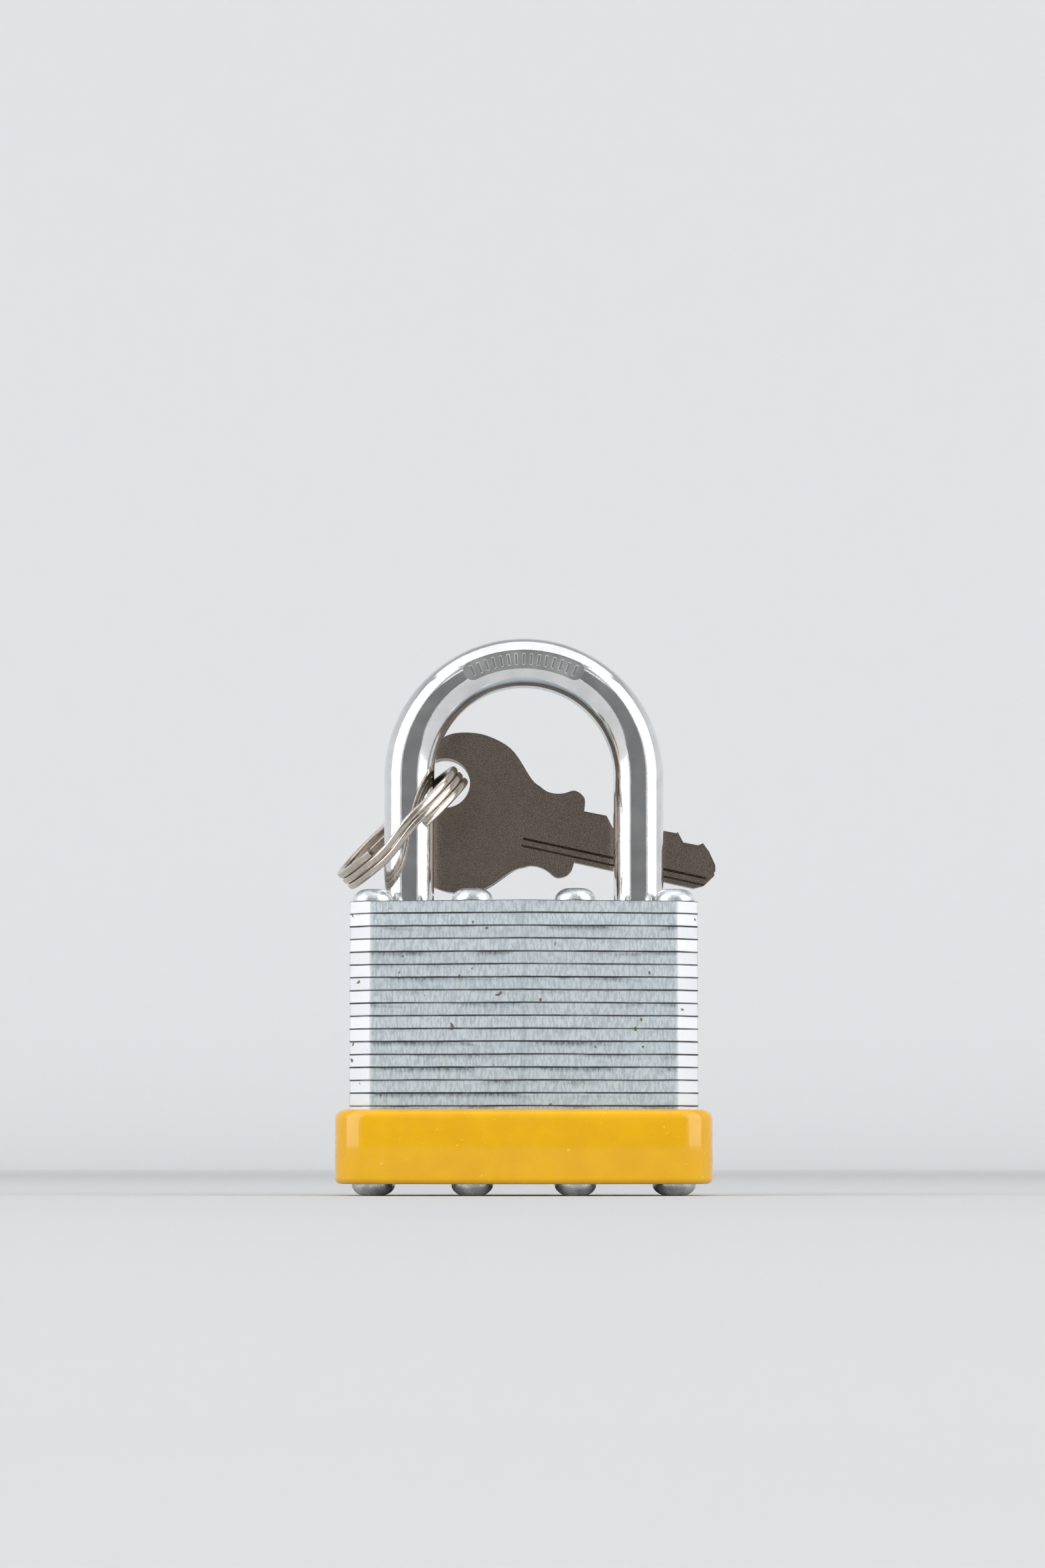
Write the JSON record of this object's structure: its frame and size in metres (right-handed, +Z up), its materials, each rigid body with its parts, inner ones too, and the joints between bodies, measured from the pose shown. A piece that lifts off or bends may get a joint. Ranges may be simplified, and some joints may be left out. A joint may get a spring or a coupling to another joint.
{
  "type": "laminated padlock",
  "caption": "Laminated padlock with a keyed cylinder that draws its bolts and lifts the shackle, a bumper round its foot, and spare keys on a split ring.",
  "frame": {"origin": "under the middle of the body, level with the tips of the lower rivet heads", "axes": "+Z up along the shackle legs, -Y out of the front face, +X from the fixed heel leg towards the free toe leg"},
  "size_m": [0.0444, 0.0232, 0.0646],
  "materials": {
    "plates": "zinc-plated stamped edge",
    "rivets": "zinc-plated, peened",
    "bumper": "glossy soft vinyl",
    "shackle": "polished plating",
    "housing": "die-cast zinc, plain",
    "brass": "turned",
    "hardened_steel": "hardened, plain",
    "spring_steel": "drawn wire",
    "nickel": "nickel-plated"
  },
  "bodies": {
    "root": {"plate_01": "plates", "plate_02": "plates", "plate_03": "plates", "plate_04": "plates", "plate_05": "plates", "plate_06": "plates", "plate_07": "plates", "plate_08": "plates", "plate_09": "plates", "plate_10": "plates", "plate_11": "plates", "plate_12": "plates", "plate_13": "plates", "plate_14": "plates", "plate_15": "plates", "plate_16": "plates", "plate_17": "plates", "plate_18": "plates", "plate_19": "plates", "plate_20": "plates", "plate_21": "plates", "plate_22": "plates", "rivet_1": "rivets", "rivet_2": "rivets", "rivet_3": "rivets", "rivet_4": "rivets", "rivet_5": "rivets", "rivet_6": "rivets", "rivet_7": "rivets", "rivet_8": "rivets", "bumper": "bumper", "cylinder_housing": "housing", "chamber_cover": "brass", "retaining_pin": "hardened_steel", "shackle_spring": "spring_steel", "bolt_spring_right": "spring_steel", "bolt_spring_left": "spring_steel", "driver_pin_1": "brass", "driver_pin_2": "brass", "driver_pin_3": "brass", "driver_pin_4": "brass", "pin_spring_1": "spring_steel", "pin_spring_2": "spring_steel", "pin_spring_3": "spring_steel", "pin_spring_4": "spring_steel"},
    "plug": {"plug": "brass", "plug_clip": "spring_steel", "cam": "housing", "key_pin_1": "brass", "key_pin_2": "brass", "key_pin_3": "brass", "key_pin_4": "brass"},
    "bolt_right": {"bolt_right": "hardened_steel"},
    "bolt_left": {"bolt_left": "hardened_steel"},
    "shackle": {"shackle": "shackle"},
    "key_ring": {"key_ring": "nickel"},
    "key_1": {"key_1": "nickel"},
    "key_2": {"key_2": "nickel"}
  },
  "joints": [
    {"name": "plug_turn", "type": "hinge", "parent": "root", "child": "plug", "pos_m": [0, 0, 0.0015], "axis": [0, 0, 1], "range_deg": [0, 90]},
    {"name": "bolt_right_slide", "type": "slide", "parent": "root", "child": "bolt_right", "axis": [-1, 0, 0], "range_m": [0, 0.0042], "deforming": ["bolt_spring_right"]},
    {"name": "bolt_left_slide", "type": "slide", "parent": "root", "child": "bolt_left", "axis": [1, 0, 0], "range_m": [0, 0.0042], "deforming": ["bolt_spring_left"]},
    {"name": "shackle_lift", "type": "slide", "parent": "root", "child": "shackle", "axis": [0, 0, 1], "range_m": [0, 0.012], "deforming": ["shackle_spring"]},
    {"name": "key_ring_swing", "type": "hinge", "parent": "shackle", "child": "key_ring", "pos_m": [-0.0133, 0, 0.0426], "axis": [0, 0, 1], "range_deg": [0, 180]},
    {"name": "key_1_swing", "type": "hinge", "parent": "key_ring", "child": "key_1", "pos_m": [-0.0092, 0.00581, 0.04805], "axis": [0, -1, 0], "range_deg": [0, 85]},
    {"name": "key_2_swing", "type": "hinge", "parent": "key_ring", "child": "key_2", "pos_m": [-0.0092, 0.00581, 0.04805], "axis": [0, -1, 0], "range_deg": [0, 85]}
  ],
  "couplings": [
    {"joint": "plug_turn", "follows": "shackle_lift", "rad_per_m": 130.9},
    {"joint": "bolt_right_slide", "follows": "shackle_lift", "ratio": 0.35},
    {"joint": "bolt_left_slide", "follows": "shackle_lift", "ratio": 0.35}
  ]
}
